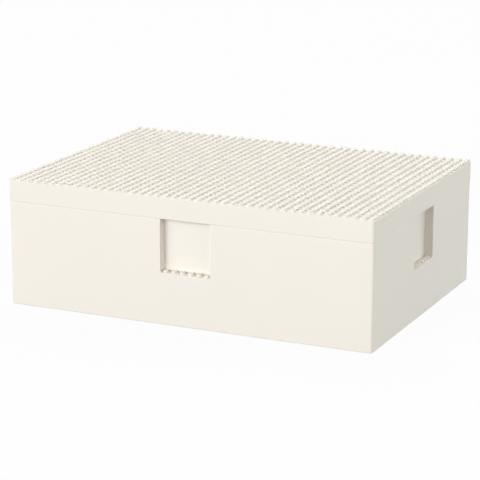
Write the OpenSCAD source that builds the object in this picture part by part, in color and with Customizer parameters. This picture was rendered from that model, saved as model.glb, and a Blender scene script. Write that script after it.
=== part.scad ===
// Brick shaped storage box with a lift-off studded lid.
// Millimetres. The origin is on the ground under the middle of the box.
// +X runs along the long side, the front face looks along -Y, +Z is up.

/* [Studs] */
// Distance from one stud to the next, both ways
stud_pitch = 8; // [7:0.1:9]
// Studs along the long side of the lid
studs_long = 44; // [24:1:60]
// Studs along the short side of the lid
studs_short = 32; // [20:1:44]
// Diameter of a stud
stud_d = 4.8; // [4:0.1:5.4]
// Height of a stud above the face it stands on
stud_h = 1.8; // [1.2:0.1:2.6]
// From the centre of an outer stud to the edge of the lid
stud_margin = 3; // [2.8:0.1:6]

/* [Lid] */
// Height of the lid, from the lower edge of its skirt to the top of its plate
lid_h = 19.6; // [18:0.1:40]
// Thickness of the top plate
plate_t = 2.4; // [1.6:0.1:3]
// Thickness of the skirt
skirt_t = 2; // [1.4:0.1:3]
// Radius of the lid's upright outer corners
lid_corner_r = 2.5; // [0.8:0.1:5]
// Height of the stiffening ribs under the plate
rib_h = 3.5; // [2:0.1:4]
// Thickness of a stiffening rib
rib_t = 1.4; // [1:0.1:2.4]
// Studs from one stiffening rib to the next
rib_step = 7; // [4:1:10]

/* [Inside corners] */
// Least radius of an upright inside corner of the lid or the box
inner_corner_r = 0.5; // [0.2:0.1:2]

/* [Box] */
// Height of the box, from the ground to the shoulder that the lid rests on
box_h = 95.6; // [70:0.1:200]
// How far each face of the box is set in from the lid's face above it
box_inset = 0.4; // [0.2:0.05:1]
// Thickness of the walls
wall_t = 2.4; // [1.8:0.1:4]
// Thickness of the floor
floor_t = 2.4; // [1.8:0.1:5]
// Radius of the box's upright outer corners
box_corner_r = 2; // [0.5:0.1:4]
// Height of the rim above the shoulder
rim_h = 10; // [6:0.1:10.5]
// Thickness of the rim
rim_t = 1.8; // [1.2:0.1:2.6]
// Clearance between the rim and the inside of the skirt
rim_gap = 0.3; // [0.15:0.05:0.6]
// Height of the thicker band of wall that carries the rim
band_h = 4; // [2:0.1:8]
// Height of the foot frame that the box stands on
foot_h = 1.2; // [0.6:0.1:2.4]
// Width of the foot frame
foot_w = 7; // [4:0.5:14]

/* [Front and rear panels] */
// Width of the raised strip at each end of the front and rear faces
strip_w = 13.5; // [8:0.5:24]
// How far the panel between the strips is set in
panel_inset = 0.2; // [0.1:0.05:0.5]

/* [Grip pockets] */
// Studs on the ledge of a grip pocket
pocket_studs = 6; // [4:1:10]
// Height of a grip pocket, from its ledge to the shoulder
pocket_h = 48.2; // [30:0.1:60]
// Thickness of a grip pocket's walls and ledge
pocket_wall_t = 2.2; // [1.6:0.1:3]

/* [Hidden] */
$fn = 32;
over = 1;

// Lid, worked out from the studs
lid_l = (studs_long - 1) * stud_pitch + 2 * stud_margin;
lid_w = (studs_short - 1) * stud_pitch + 2 * stud_margin;
lid_inner_l = lid_l - 2 * skirt_t;
lid_inner_w = lid_w - 2 * skirt_t;
lid_inner_r = max(lid_corner_r - skirt_t, inner_corner_r);
skirt_h = lid_h - plate_t;

// Box, worked out from the lid that covers it
box_l = lid_l - 2 * box_inset;
box_w = lid_w - 2 * box_inset;
rim_l = lid_inner_l - 2 * rim_gap;
rim_w = lid_inner_w - 2 * rim_gap;
rim_corner_r = lid_inner_r + rim_gap;
shoulder_w = (box_l - rim_l) / 2;
band_t = shoulder_w + rim_t;
rim_top = box_h + rim_h;

// Grip pockets, one stud deep
pocket_w = pocket_studs * stud_pitch;
pocket_d = stud_pitch;
ledge_z = box_h - pocket_h;

plastic = "#F3EEE4";

// A rectangle with rounded corners, centred on the origin
module rounded_rect(l, w, r) {
    square([l - 2 * r, w], center = true);
    square([l, w - 2 * r], center = true);
    for (x = [-1, 1], y = [-1, 1])
        translate([x * (l / 2 - r), y * (w / 2 - r)]) circle(r = r);
}

// A round-cornered slab standing on height z
module slab(l, w, r, z, h) {
    translate([0, 0, z]) linear_extrude(h) rounded_rect(l, w, r);
}

// Studs on a grid centred on the origin
module stud_grid(nx, ny) {
    linear_extrude(stud_h)
        for (i = [0 : nx - 1], j = [0 : ny - 1])
            translate([(i - (nx - 1) / 2) * stud_pitch, (j - (ny - 1) / 2) * stud_pitch])
                circle(d = stud_d);
}

// Carries a front-facing child round to one face of the box. The child is drawn with
// the outer face of the box on its XZ plane and the inside of the box along +Y.
module on_face(side) {
    turn = side == "front" ? 0 : side == "right" ? 90 : side == "rear" ? 180 : 270;
    reach = side == "front" || side == "rear" ? box_w / 2 : box_l / 2;
    rotate([0, 0, turn]) translate([0, -reach, 0]) children();
}

// The open space of one grip pocket, from outside the wall to its back
module pocket_space() {
    translate([-pocket_w / 2, -over, ledge_z])
        cube([pocket_w, pocket_d + over, rim_top + over - ledge_z]);
}

// Floor, walls, shoulder, rim and foot frame, before the grip pockets are cut
module tub_shell() {
    difference() {
        union() {
            slab(box_l, box_w, box_corner_r, 0, box_h);
            slab(rim_l, rim_w, rim_corner_r, box_h - over, rim_h + over);
        }
        slab(box_l - 2 * wall_t, box_w - 2 * wall_t, max(box_corner_r - wall_t, inner_corner_r),
             foot_h + floor_t, box_h - band_h - foot_h - floor_t);
        slab(box_l - 2 * band_t, box_w - 2 * band_t, max(rim_corner_r - rim_t, inner_corner_r),
             box_h - band_h - over, band_h + rim_h + 2 * over);
        slab(box_l - 2 * foot_w, box_w - 2 * foot_w, max(box_corner_r, inner_corner_r), -over, foot_h + over);
        for (side = ["front", "rear"])
            on_face(side)
                translate([-(box_l / 2 - strip_w), -over, -over])
                    cube([box_l - 2 * strip_w, over + panel_inset, box_h + over]);
    }
}

module box_tub() {
    color(plastic)
        difference() {
            tub_shell();
            for (side = ["front", "rear", "left", "right"]) on_face(side) pocket_space();
        }
}

// Back, cheeks and ledge of one grip pocket with the studs on its ledge
module grip_pocket(side) {
    color(plastic)
        difference() {
            on_face(side) {
                difference() {
                    translate([-pocket_w / 2 - pocket_wall_t, shoulder_w, ledge_z - pocket_wall_t])
                        cube([
                            pocket_w + 2 * pocket_wall_t,
                            pocket_d + pocket_wall_t - shoulder_w,
                            rim_top - ledge_z + pocket_wall_t
                        ]);
                    pocket_space();
                }
                translate([0, pocket_d / 2, ledge_z]) stud_grid(pocket_studs, 1);
            }
            tub_shell();
        }
}

// Top plate of the lid with all its studs
module lid_studded_top() {
    color(plastic) {
        slab(lid_l, lid_w, lid_corner_r, box_h + skirt_h, plate_t);
        translate([0, 0, box_h + lid_h]) stud_grid(studs_long, studs_short);
    }
}

module lid_skirt() {
    color(plastic)
        difference() {
            slab(lid_l, lid_w, lid_corner_r, box_h, skirt_h);
            slab(lid_inner_l, lid_inner_w, lid_inner_r, box_h - over, skirt_h + 2 * over);
        }
}

// Stiffening ribs under the plate, on a grid that follows the studs
module lid_ribs() {
    step = rib_step * stud_pitch;
    nx = floor((lid_inner_l / 2 - stud_pitch) / step);
    ny = floor((lid_inner_w / 2 - stud_pitch) / step);
    color(plastic)
        translate([0, 0, box_h + skirt_h - rib_h])
            linear_extrude(rib_h) {
                for (i = [-nx : nx]) translate([i * step, 0]) square([rib_t, lid_inner_w], center = true);
                for (j = [-ny : ny]) translate([0, j * step]) square([lid_inner_l, rib_t], center = true);
            }
}

box_tub();
grip_pocket("front");  // grip_pocket_front
grip_pocket("rear");  // grip_pocket_rear
grip_pocket("left");  // grip_pocket_left
grip_pocket("right");  // grip_pocket_right
lid_studded_top();
lid_skirt();
lid_ribs();
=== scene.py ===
"""Looks of the brick shaped storage box: two mouldings in satin off-white ABS, on a pale studio floor.

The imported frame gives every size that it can. Sizes here are in millimetres until a mesh is made.
"""

import math

import bmesh
import bpy
from mathutils import Matrix, Vector


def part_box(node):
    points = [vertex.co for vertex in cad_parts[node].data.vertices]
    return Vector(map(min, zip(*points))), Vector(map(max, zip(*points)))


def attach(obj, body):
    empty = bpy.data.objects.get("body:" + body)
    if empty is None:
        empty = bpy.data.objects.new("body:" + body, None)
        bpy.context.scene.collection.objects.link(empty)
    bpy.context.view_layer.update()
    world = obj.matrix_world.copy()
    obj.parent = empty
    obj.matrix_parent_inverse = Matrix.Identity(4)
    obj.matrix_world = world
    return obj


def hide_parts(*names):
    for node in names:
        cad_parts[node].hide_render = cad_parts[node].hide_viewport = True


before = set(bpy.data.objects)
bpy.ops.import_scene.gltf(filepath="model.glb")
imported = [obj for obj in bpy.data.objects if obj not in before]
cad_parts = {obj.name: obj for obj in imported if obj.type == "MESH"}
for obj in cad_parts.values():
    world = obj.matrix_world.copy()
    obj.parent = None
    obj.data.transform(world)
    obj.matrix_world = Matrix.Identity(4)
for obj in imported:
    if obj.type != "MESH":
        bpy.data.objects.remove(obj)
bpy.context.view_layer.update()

MM = 0.001
RIGHT_ANGLE = math.pi / 2

# ---------------------------------------------------------------- sizes


def node_box(node):
    """Lowest and highest corner of a CAD node at rest, in millimetres."""
    low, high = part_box(node)
    return low / MM, high / MM


_, tub_high = node_box("box_tub")
_, top_high = node_box("lid_studded_top")
skirt_low, skirt_high = node_box("lid_skirt")
ribs_low, ribs_high = node_box("lid_ribs")
pocket_low, pocket_high = node_box("grip_pocket_front")

# Studs: the grid is worked out from the lid that carries it. A stud's root lies a little under its face.
STUD_PITCH = 8
STUD_DIAMETER = 4.8
STUD_HEIGHT = 1.8
STUD_MARGIN = 3
STUD_ROOT = 0.1
stud_columns = round(2 * (top_high.x - STUD_MARGIN) / STUD_PITCH) + 1
stud_rows = round(2 * (top_high.y - STUD_MARGIN) / STUD_PITCH) + 1

# Lid: half length, half width and its levels
lid_x, lid_y = top_high.x, top_high.y
seam_z = skirt_low.z
plate_under_z = skirt_high.z
plate_top_z = top_high.z - STUD_HEIGHT
skirt_x, skirt_y = ribs_high.x, ribs_high.y
RIB_THICKNESS = 1.4
STUDS_TO_NEXT_RIB = 7
rib_step = STUDS_TO_NEXT_RIB * STUD_PITCH

# Box: half length, half width, its levels and its thicknesses
box_x, box_y = tub_high.x, tub_high.y
rim_top_z = tub_high.z
WALL_THICKNESS = 2.4
FLOOR_THICKNESS = 2.4
FOOT_HEIGHT = 1.2
FOOT_WIDTH = 7
RIM_THICKNESS = 1.8
RIM_GAP = 0.3
BAND_HEIGHT = 4
shoulder = box_x - skirt_x + RIM_GAP
band = shoulder + RIM_THICKNESS

# Front and rear faces: a panel set in between two raised end strips, with a narrow slope up to each. A strip
# falls back towards its corner, by BEND_FALL over its first BEND_WIDTH and by CORNER_FALL at its end.
STRIP_WIDTH = 13.5
SLOPE_WIDTH = 0.3
BEND_WIDTH = 4
PANEL_INSET = 0.2
BEND_FALL = 0.17
CORNER_FALL = 0.42
strip_start = box_x - STRIP_WIDTH

# Distance from the middle of the face, and how far the face lies in there
face_fall = (
    (strip_start - SLOPE_WIDTH, PANEL_INSET),
    (strip_start, 0),
    (strip_start + BEND_WIDTH, BEND_FALL),
    (box_x, CORNER_FALL),
)

# Grip pockets, as the front one gives them
POCKET_THICKNESS = 2.2
pocket_half = pocket_high.x - POCKET_THICKNESS
pocket_depth = pocket_high.y + box_y - POCKET_THICKNESS
ledge_z = pocket_low.z + POCKET_THICKNESS
pocket_studs = round(2 * pocket_half / STUD_PITCH)

# Radii of the edges
LID_TOP_R = 0.4
SEAM_R = 0.7
MOUTH_R = 0.9
BOX_FOOT_R = 0.8
FLOOR_R = 0.8
EDGE_R = 0.35
ROOT_R = 0.12
STUD_EDGE_R = 0.35

# Radii of the upright corners, and the least that one may have at any level
LID_CORNER_R = 2.5
SKIRT_CORNER_R = 0.5
BOX_CORNER_R = 2.0
RIM_CORNER_R = 0.8
RIM_INSIDE_R = 0.5
WALL_INSIDE_R = 1.0
FOOT_INSIDE_R = 2.0
POCKET_BACK_R = 0.8
LEAST_R = 0.15

# Steps of the rounded shapes, and the angle in degrees from which an edge shows as sharp
CORNER_STEPS = 6
EDGE_STEPS = 3
STUD_SIDES = 16
STUD_EDGE_STEPS = 2
SHARP_ANGLE = 50

# How much the even shading follows the larger faces: as much as it can
FACE_WEIGHT = 100

# How far a cap or a tool reaches past the face that it ends in
OVER = 1

# Points this close to a cutting plane lie on it, in metres
ON_PLANE = 1e-7

# The faces of the box, and how far each is turned from the front, in degrees
SIDES = {"front": 0, "right": 90, "rear": 180, "left": 270}

# ---------------------------------------------------------------- materials

WHITE = "#FFFFFF"

# The two close tints that the melt leaves as it flows and cools, and the size of their clouds
ABS_TINT = "#F2EDE4"
ABS_SHADE = "#F0EAE1"
FLOW_SIZE = 60

# The sheen: its roughness goes from one value to the other over patches of SHEEN_SIZE
ABS_IOR = 1.54
GLOSSIEST = 0.40
MATTEST = 0.50
SHEEN_SIZE = 9

# The real grain is about 0.1 mm. It is drawn at 0.9 mm, the finest that the render shows.
GRAIN_SIZE = 0.9
GRAIN_HEIGHT = 0.02
GRAIN_STRENGTH = 0.25


def linear(hex_colour):
    """An sRGB hex colour as linear RGBA."""
    parts = [int(hex_colour[i : i + 2], 16) / 255 for i in (1, 3, 5)]
    return [c / 12.92 if c <= 0.04045 else ((c + 0.055) / 1.055) ** 2.4 for c in parts] + [1]


def add_node(tree, kind, settings=None, **inputs):
    """A node with its settings and its inputs.

    An input goes by its name, with _ for a space, or by _ and its number. It is a value or an output socket.
    """
    node = tree.nodes.new(kind)
    for name, value in (settings or {}).items():
        setattr(node, name, value)
    for name, value in inputs.items():
        socket = node.inputs[int(name[1:])] if name[0] == "_" else node.inputs[name.replace("_", " ")]
        if isinstance(value, bpy.types.NodeSocket):
            tree.links.new(value, socket)
        else:
            socket.default_value = value
    return node


def calculated(tree, operation, first, second):
    """The result of a math node on two values."""
    return add_node(tree, "ShaderNodeMath", {"operation": operation}, _0=first, _1=second).outputs[0]


def mixed(tree, share, first, second):
    """A shader that goes from first at share 0 to second at share 1."""
    return add_node(tree, "ShaderNodeMixShader", _0=share, _1=first, _2=second).outputs[0]


def noise(tree, place, size, detail):
    """Noise with forms about size millimetres across."""
    texture = add_node(tree, "ShaderNodeTexNoise", Vector=place, Scale=1 / (size * MM), Detail=detail)
    return texture.outputs["Fac"]


def new_material(name):
    """An empty node material and its tree."""
    material = bpy.data.materials.new(name)
    material.use_nodes = True
    material.node_tree.nodes.clear()
    return material, material.node_tree


def moulded_abs(name):
    """ABS from a spark-eroded steel mould: opaque, satin, with a fine grain that breaks up highlights."""
    material, tree = new_material(name)
    place = add_node(tree, "ShaderNodeTexCoord").outputs["Object"]
    flow = noise(tree, place, FLOW_SIZE, detail=2.0)
    # Inputs 6 and 7 are the node's colours, and output 2 is their mix
    tint = add_node(
        tree, "ShaderNodeMix", {"data_type": "RGBA"}, _0=flow, _6=linear(ABS_TINT), _7=linear(ABS_SHADE)
    )
    polish = noise(tree, place, SHEEN_SIZE, detail=3.0)
    roughness = add_node(tree, "ShaderNodeMapRange", Value=polish, To_Min=GLOSSIEST, To_Max=MATTEST)
    grain = noise(tree, place, GRAIN_SIZE, detail=2.0)
    bump = add_node(
        tree, "ShaderNodeBump", Strength=GRAIN_STRENGTH, Distance=GRAIN_HEIGHT * MM, Height=grain
    )
    shader = add_node(
        tree,
        "ShaderNodeBsdfPrincipled",
        Base_Color=tint.outputs[2],
        Roughness=roughness.outputs["Result"],
        IOR=ABS_IOR,
        Normal=bump.outputs["Normal"],
    )
    add_node(tree, "ShaderNodeOutputMaterial", Surface=shader.outputs["BSDF"])
    return material


# ---------------------------------------------------------------- solids


def new_piece(name, mesh, material):
    """An object at the origin that shows a new mesh in one material."""
    piece = bpy.data.objects.new(name, mesh)
    bpy.context.scene.collection.objects.link(piece)
    mesh.materials.append(material)
    return piece


def settle(piece):
    """Turns a piece's modifiers into its own plain mesh."""
    depsgraph = bpy.context.evaluated_depsgraph_get()
    mesh = bpy.data.meshes.new_from_object(piece.evaluated_get(depsgraph))
    mesh.name = piece.name
    piece.modifiers.clear()
    piece.data = mesh


def even_shading(piece):
    """Makes flat faces look flat and their rounded edges smooth."""
    for polygon in piece.data.polygons:
        polygon.use_smooth = True
    piece.data.set_sharp_from_angle(angle=math.radians(SHARP_ANGLE))
    modifier = piece.modifiers.new("even shading", "WEIGHTED_NORMAL")
    modifier.mode = "FACE_AREA"
    modifier.weight = FACE_WEIGHT
    modifier.keep_sharp = True
    settle(piece)


def quarter_turn(steps):
    """Angles from 0 to a right angle."""
    return [RIGHT_ANGLE * step / steps for step in range(steps + 1)]


def quarter_circle(x, y, radius, start, steps):
    """Points of a quarter circle about (x, y), anticlockwise from the angle start."""
    return [
        (x + radius * math.cos(start + angle), y + radius * math.sin(start + angle))
        for angle in quarter_turn(steps)
    ]


def rounded_rectangle(half_x, half_y, radius):
    """Points round a rectangle with rounded corners, anticlockwise from above."""
    points = []
    for quarter, (x_sign, y_sign) in enumerate(((1, 1), (-1, 1), (-1, -1), (1, -1))):
        x, y = x_sign * (half_x - radius), y_sign * (half_y - radius)
        points += quarter_circle(x, y, radius, quarter * RIGHT_ANGLE, CORNER_STEPS)
    return points


def filleted(profile):
    """A profile with its square corners rounded and its two ends left out.

    A point is (inset from the outer face, height, fillet radius, radius of the upright corner there).
    """
    points = []
    for before, (inset, z, fillet, upright_r), after in zip(profile, profile[1:], profile[2:]):
        corner = Vector((inset, z))
        back = (Vector(before[:2]) - corner).normalized()
        on = (Vector(after[:2]) - corner).normalized()
        for angle in quarter_turn(EDGE_STEPS):
            place = corner + fillet * (back * (1 - math.sin(angle)) + on * (1 - math.cos(angle)))
            points.append((*place, max(LEAST_R, upright_r + inset - place.x)))
    return points


def add_skin(bm, rings):
    """Adds a closed skin through rings of points in millimetres, capped at both ends."""
    loops = [[bm.verts.new(Vector(point) * MM) for point in ring] for ring in rings]
    for lower, upper in zip(loops, loops[1:]):
        for n in range(len(lower)):
            after = (n + 1) % len(lower)
            bm.faces.new((lower[n], lower[after], upper[after], upper[n]))
    bm.faces.new(loops[0][::-1])
    bm.faces.new(loops[-1])


def skinned(name, skins, material):
    """A piece from one or more skins, each a list of rings."""
    bm = bmesh.new()
    for rings in skins:
        add_skin(bm, rings)
    mesh = bpy.data.meshes.new(name)
    bm.to_mesh(mesh)
    bm.free()
    return new_piece(name, mesh, material)


def wrapped(half_x, half_y, profile):
    """The rings of a profile carried round a rectangle with rounded corners."""
    return [
        [(x, y, z) for x, y in rounded_rectangle(half_x - inset, half_y - inset, radius)]
        for inset, z, radius in filleted(profile)
    ]


def combine(piece, operation, tool):
    """Joins a tool to a piece or cuts it away, and removes the tool."""
    modifier = piece.modifiers.new(operation, "BOOLEAN")
    modifier.operation = operation
    modifier.solver = "EXACT"
    modifier.object = tool
    settle(piece)
    bpy.data.objects.remove(tool)


def on_face(side, along, depth, z):
    """A point on one side of the box: along its wall, depth in from its outer face."""
    reach = box_y if side in ("front", "rear") else box_x
    return Matrix.Rotation(math.radians(SIDES[side]), 3, "Z") @ Vector((along, depth - reach, z))


# ---------------------------------------------------------------- box


def tub_profile():
    """The box's skin from the recess under its floor, round its foot, up its wall, over the rim and down."""
    floor_z = FOOT_HEIGHT + FLOOR_THICKNESS
    band_z = seam_z - BAND_HEIGHT
    return [
        (FOOT_WIDTH + OVER, FOOT_HEIGHT, 0, FOOT_INSIDE_R),
        (FOOT_WIDTH, FOOT_HEIGHT, ROOT_R, FOOT_INSIDE_R),
        (FOOT_WIDTH, 0, EDGE_R, FOOT_INSIDE_R),
        (0, 0, BOX_FOOT_R, BOX_CORNER_R),
        (0, seam_z, SEAM_R, BOX_CORNER_R),
        (shoulder, seam_z, ROOT_R, RIM_CORNER_R),
        (shoulder, rim_top_z, EDGE_R, RIM_CORNER_R),
        (band, rim_top_z, EDGE_R, RIM_INSIDE_R),
        (band, band_z, EDGE_R, RIM_INSIDE_R),
        (WALL_THICKNESS, band_z, ROOT_R, WALL_INSIDE_R),
        (WALL_THICKNESS, floor_z, FLOOR_R, WALL_INSIDE_R),
        (WALL_THICKNESS + OVER, floor_z, 0, WALL_INSIDE_R),
    ]


def pocket_block(side):
    """The outside of one grip pocket as it stands in the box."""
    near, low = shoulder + ROOT_R, ledge_z - POCKET_THICKNESS
    fillet = [(EDGE_R * (1 - math.sin(a)), EDGE_R * (1 - math.cos(a))) for a in quarter_turn(EDGE_STEPS)]
    levels = [(inset, low + rise) for inset, rise in fillet]
    levels += [(inset, rim_top_z - rise) for inset, rise in reversed(fillet)]
    rings = []
    for inset, z in levels:
        half = pocket_half + POCKET_THICKNESS - inset
        far = pocket_depth + POCKET_THICKNESS - inset
        radius = POCKET_BACK_R - inset
        outline = [(-half, near), (half, near)]
        for sign, start in ((1, 0), (-1, RIGHT_ANGLE)):
            outline += quarter_circle(sign * (half - radius), far - radius, radius, start, CORNER_STEPS)
        rings.append([on_face(side, along, depth, z) for along, depth in outline])
    return rings


def flare(depth, radius):
    """How much an opening with a rounded edge is wider at a depth behind its face."""
    rest = max(0, radius - max(0, depth))
    return radius - math.sqrt(max(0, radius**2 - rest**2))


def pocket_space(side):
    """The open space of one grip pocket, with a rounded mouth."""
    depths = [MOUTH_R * (1 - math.cos(angle)) for angle in quarter_turn(2 * EDGE_STEPS)]
    rings = []
    for depth in [-OVER, *depths, pocket_depth]:
        half = pocket_half + flare(depth, MOUTH_R)
        low, high = ledge_z - flare(depth, EDGE_R), rim_top_z + OVER
        outline = ((-half, low), (-half, high), (half, high), (half, low))
        rings.append([on_face(side, along, depth, z) for along, z in outline])
    return rings


def face_inset(x):
    """How far the front face lies in at a distance from its middle."""
    for (near, first), (far, last) in zip(face_fall, face_fall[1:]):
        if x < near:
            return first
        if x < far:
            return first + (last - first) * (x - near) / (far - near)
    return last


def shape_long_faces(piece):
    """Sets the front and rear panels in and lets the strips beside them fall back."""
    bm = bmesh.new()
    bm.from_mesh(piece.data)
    for place, _ in face_fall[:-1]:
        for x in (-place, place):
            bmesh.ops.bisect_plane(
                bm,
                geom=bm.verts[:] + bm.edges[:] + bm.faces[:],
                dist=ON_PLANE,
                plane_co=(x * MM, 0, 0),
                plane_no=(1, 0, 0),
            )
    for vertex in bm.verts:
        x, y, _ = vertex.co / MM
        share = max(0, 1 - (box_y - abs(y)) / (shoulder - ROOT_R))
        vertex.co.y -= math.copysign(share * face_inset(abs(x)) * MM, y)
    bm.to_mesh(piece.data)
    bm.free()


def build_box(material):
    """The box with its four grip pockets, without the studs on their ledges."""
    piece = skinned("box_moulding", [wrapped(box_x, box_y, tub_profile())], material)
    combine(piece, "UNION", skinned("pocket blocks", [pocket_block(side) for side in SIDES], material))
    combine(piece, "DIFFERENCE", skinned("pocket spaces", [pocket_space(side) for side in SIDES], material))
    shape_long_faces(piece)
    even_shading(piece)
    return piece


# ---------------------------------------------------------------- lid


def lid_profile():
    """The lid's skin from under its plate, down inside the skirt, round its edge and up over the top."""
    return [
        (lid_x - skirt_x + OVER, plate_under_z, 0, SKIRT_CORNER_R),
        (lid_x - skirt_x, plate_under_z, ROOT_R, SKIRT_CORNER_R),
        (lid_x - skirt_x, seam_z, EDGE_R, SKIRT_CORNER_R),
        (0, seam_z, SEAM_R, LID_CORNER_R),
        (0, plate_top_z, LID_TOP_R, LID_CORNER_R),
        (OVER, plate_top_z, 0, LID_CORNER_R),
    ]


def ribs_across(reach, length, turned):
    """Ribs on the stud grid across plus or minus reach, each length long to both sides of the middle."""
    half, low, high = RIB_THICKNESS / 2, ribs_low.z, plate_under_z + OVER
    outline = [(half, high), (-half, high)]
    for sign, start in ((-1, 2 * RIGHT_ANGLE), (1, 3 * RIGHT_ANGLE)):
        outline += quarter_circle(sign * (half - EDGE_R), low + EDGE_R, EDGE_R, start, EDGE_STEPS)
    count = int((reach - STUD_PITCH) / rib_step)
    ribs = []
    for n in range(-count, count + 1):
        middle = n * rib_step
        if turned:
            ribs.append([[(end, middle + x, z) for x, z in outline] for end in (-length, length)])
        else:
            ribs.append([[(middle + x, end, z) for x, z in outline] for end in (length, -length)])
    return ribs


def build_lid(material):
    """The lid's plate, skirt and ribs, without the studs on its top."""
    piece = skinned("lid_moulding", [wrapped(lid_x, lid_y, lid_profile())], material)
    for reach, length, turned in ((skirt_x, skirt_y, False), (skirt_y, skirt_x, True)):
        ribs = ribs_across(reach, length + OVER, turned)
        combine(piece, "UNION", skinned("ribs", ribs, material))
    even_shading(piece)
    return piece


# ---------------------------------------------------------------- studs


def stud_rings():
    """One stud, turned from its profile, with its root just under the face it stands on."""
    radius = STUD_DIAMETER / 2
    profile = [(radius, -STUD_ROOT)]
    for angle in quarter_turn(STUD_EDGE_STEPS):
        out = radius - STUD_EDGE_R * (1 - math.cos(angle))
        profile.append((out, STUD_HEIGHT - STUD_EDGE_R * (1 - math.sin(angle))))
    turns = [2 * math.pi * (n + 0.5) / STUD_SIDES for n in range(STUD_SIDES)]
    return [[(r * math.cos(t), r * math.sin(t), z) for t in turns] for r, z in profile]


def stud_rows_tree():
    """Geometry nodes that repeat the piece's own stud over a grid and set the grid in its place."""
    tree = bpy.data.node_groups.new("stud rows", "GeometryNodeTree")
    for name, kind in (
        ("Stud", "NodeSocketGeometry"),
        ("Columns", "NodeSocketInt"),
        ("Rows", "NodeSocketInt"),
        ("Pitch", "NodeSocketFloat"),
        ("Place", "NodeSocketVector"),
        ("Turn", "NodeSocketVector"),
        ("Finish", "NodeSocketMaterial"),
    ):
        tree.interface.new_socket(name, in_out="INPUT", socket_type=kind)
    tree.interface.new_socket("Studs", in_out="OUTPUT", socket_type="NodeSocketGeometry")
    given = add_node(tree, "NodeGroupInput").outputs

    def length(count):
        gaps = calculated(tree, "SUBTRACT", given[count], 1.0)
        return calculated(tree, "MULTIPLY", gaps, given["Pitch"])

    grid = add_node(
        tree,
        "GeometryNodeMeshGrid",
        Size_X=length("Columns"),
        Size_Y=length("Rows"),
        Vertices_X=given["Columns"],
        Vertices_Y=given["Rows"],
    )
    studs = add_node(
        tree, "GeometryNodeInstanceOnPoints", Points=grid.outputs["Mesh"], Instance=given["Stud"]
    )
    real = add_node(tree, "GeometryNodeRealizeInstances", Geometry=studs.outputs["Instances"])
    placed = add_node(
        tree,
        "GeometryNodeTransform",
        Geometry=real.outputs["Geometry"],
        Translation=given["Place"],
        Rotation=given["Turn"],
    )
    finished = add_node(
        tree, "GeometryNodeSetMaterial", Geometry=placed.outputs["Geometry"], Material=given["Finish"]
    )
    add_node(tree, "NodeGroupOutput", _0=finished.outputs["Geometry"])
    return tree


def build_studs(name, tree, columns, rows, place, turn, material):
    """Studs on a grid about place, in millimetres, turned about the upright by turn degrees."""
    piece = skinned(name, [stud_rings()], material)
    modifier = piece.modifiers.new("stud rows", "NODES")
    modifier.node_group = tree
    values = {
        "Columns": columns,
        "Rows": rows,
        "Pitch": STUD_PITCH * MM,
        "Place": Vector(place) * MM,
        "Turn": (0, 0, math.radians(turn)),
        "Finish": material,
    }
    for item in tree.interface.items_tree:
        if item.in_out == "INPUT" and item.name in values:
            modifier[item.identifier] = values[item.name]
    settle(piece)
    piece.data.materials.clear()
    piece.data.materials.append(material)
    even_shading(piece)
    return piece


# ---------------------------------------------------------------- camera, light and floor

# The fitted camera. Its angles are in degrees: turned to the right from facing the front, looking down, and
# tilted about its own axis.
CAMERA_PLACE = (748.6, -1661.4, 532.7)
CAMERA_TURN = -24.397
CAMERA_DOWN = 14.866
CAMERA_TILT = 0.272
CAMERA_LENS = 153.1
CAMERA_SENSOR = 36

# The surround's light on the object, then the studio floor: the colour of its lit share, the share of it that
# glows white, and the colour in which it throws light back
SURROUND_LIGHT = 0.13
STUDIO_FLOOR_SHOWN = "#FDFDFD"
STUDIO_FLOOR_GLOW = 0.93
STUDIO_FLOOR_BOUNCE = "#868684"

# From the middle of the studio floor to its edges, in metres
STUDIO_FLOOR_REACH = 20


def place_camera():
    """The photograph's view: from the right of the front, a little above, through a long lens."""
    turned_right, looking_down, tilt = (math.radians(a) for a in (CAMERA_TURN, CAMERA_DOWN, CAMERA_TILT))
    forward = Vector(
        (
            math.sin(turned_right) * math.cos(looking_down),
            math.cos(turned_right) * math.cos(looking_down),
            -math.sin(looking_down),
        )
    )
    level = forward.cross(Vector((0, 0, 1))).normalized()
    upright = level.cross(forward)
    right = level * math.cos(tilt) + upright * math.sin(tilt)
    up = upright * math.cos(tilt) - level * math.sin(tilt)
    data = bpy.data.cameras.new("camera")
    data.sensor_width = CAMERA_SENSOR
    data.lens = CAMERA_LENS
    camera = bpy.data.objects.new("camera", data)
    place = Matrix.Translation(Vector(CAMERA_PLACE) * MM)
    camera.matrix_world = place @ Matrix((right, up, -forward)).transposed().to_4x4()
    bpy.context.scene.collection.objects.link(camera)
    bpy.context.scene.camera = camera


def direction(turn, height):
    """Unit vector towards a lamp.

    turn is its place in degrees from the front towards the right, and height its degrees above the floor.
    """
    turn, height = math.radians(turn), math.radians(height)
    return Vector(
        (math.sin(turn) * math.cos(height), -math.cos(turn) * math.cos(height), math.sin(height))
    )


def add_lamp(name, toward, spread, strength, colour, distance=None):
    """A soft lamp, spread degrees wide, that gives strength watts a square metre at the object.

    With a distance in metres it is a round softbox, whose light falls off across the object. Without one it
    is far away.
    """
    data = bpy.data.lights.new(name, "AREA" if distance else "SUN")
    data.color = linear(colour)[:3]
    half = math.radians(spread / 2)
    lamp = bpy.data.objects.new(name, data)
    lamp.rotation_euler = toward.to_track_quat("Z", "Y").to_euler()
    if distance:
        data.shape = "DISK"
        data.size = 2 * distance * math.tan(half)
        data.energy = strength * math.pi * (distance / math.cos(half)) ** 2
        lamp.location = toward * distance
    else:
        data.angle = 2 * half
        data.energy = strength
    bpy.context.scene.collection.objects.link(lamp)


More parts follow.
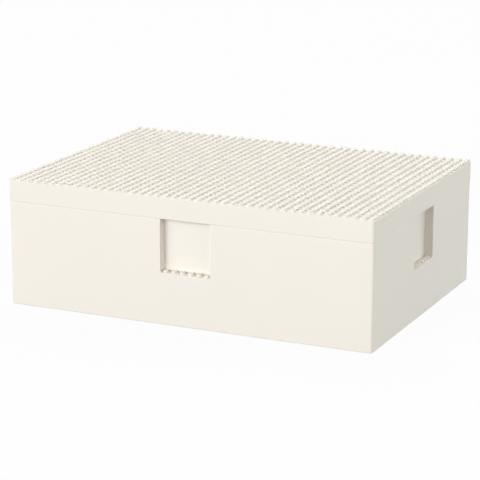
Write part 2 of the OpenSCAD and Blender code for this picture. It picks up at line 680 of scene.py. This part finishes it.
def seen_ray(tree):
    """1 for the rays that show a background: from the camera, in a gloss or through something clear."""
    ray = add_node(tree, "ShaderNodeLightPath").outputs
    seen = calculated(tree, "MAXIMUM", ray["Is Camera Ray"], ray["Is Glossy Ray"])
    return calculated(tree, "MAXIMUM", seen, ray["Is Transmission Ray"])


def light_studio():
    """A surround that shows white and lights little, a low softbox from the front left, and four fills."""
    world = bpy.data.worlds.new("white surround")
    bpy.context.scene.world = world
    world.use_nodes = True
    tree = world.node_tree
    tree.nodes.clear()
    given = add_node(tree, "ShaderNodeBackground", Color=linear(WHITE), Strength=SURROUND_LIGHT)
    shown = add_node(tree, "ShaderNodeBackground", Color=linear(WHITE), Strength=1.0)
    surround = mixed(tree, seen_ray(tree), given.outputs[0], shown.outputs[0])
    add_node(tree, "ShaderNodeOutputWorld", Surface=surround)
    add_lamp("key", direction(-15, 12), spread=35, strength=1.9, colour="#FEFFFE", distance=9)
    add_lamp("left fill", direction(-45, 12), spread=35, strength=1.0, colour="#FEFEFF")
    add_lamp("upper rear", direction(-150, 48), spread=60, strength=1.5, colour="#FCFDFF")
    add_lamp("right front fill", direction(60, 10), spread=40, strength=0.9, colour="#FFF9FA")
    add_lamp("right rear fill", direction(120, 12), spread=60, strength=1.8, colour="#F6FFFA")


def lay_floor():
    """A pale seamless floor that keeps the object's shadow. It throws less light back than it shows."""
    material, tree = new_material("Pale studio sweep")
    bounce = add_node(tree, "ShaderNodeBsdfDiffuse", Color=linear(STUDIO_FLOOR_BOUNCE))
    lit = add_node(tree, "ShaderNodeBsdfDiffuse", Color=linear(STUDIO_FLOOR_SHOWN))
    glow = add_node(tree, "ShaderNodeEmission", Color=linear(WHITE), Strength=1.0)
    shown = mixed(tree, STUDIO_FLOOR_GLOW, lit.outputs[0], glow.outputs[0])
    sweep = mixed(tree, seen_ray(tree), bounce.outputs[0], shown)
    add_node(tree, "ShaderNodeOutputMaterial", Surface=sweep)
    bm = bmesh.new()
    bmesh.ops.create_grid(bm, x_segments=1, y_segments=1, size=STUDIO_FLOOR_REACH)
    mesh = bpy.data.meshes.new("floor")
    bm.to_mesh(mesh)
    bm.free()
    new_piece("floor", mesh, material)


# ---------------------------------------------------------------- assembly


def main():
    """Sets up the studio, then makes the box and the lid and says what each piece replaces and rides on."""
    place_camera()
    lay_floor()
    light_studio()

    box_abs = moulded_abs("Satin moulded ABS of the box")
    lid_abs = moulded_abs("Satin moulded ABS of the lid")
    tree = stud_rows_tree()

    box = build_box(box_abs)
    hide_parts("box_tub", *(f"grip_pocket_{side}" for side in SIDES))
    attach(box, "box")
    for side, turn in SIDES.items():
        place = on_face(side, 0, pocket_depth / 2, ledge_z)
        studs = build_studs(f"ledge_studs_{side}", tree, pocket_studs, 1, place, turn, box_abs)
        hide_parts(f"grip_pocket_{side}")
        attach(studs, "box")

    lid = build_lid(lid_abs)
    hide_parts("lid_skirt", "lid_ribs", "lid_studded_top")
    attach(lid, "lid")
    studs = build_studs("lid_studs", tree, stud_columns, stud_rows, (0, 0, plate_top_z), 0, lid_abs)
    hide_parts("lid_studded_top")
    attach(studs, "lid")

    bpy.context.scene.view_settings.view_transform = "Standard"


main()
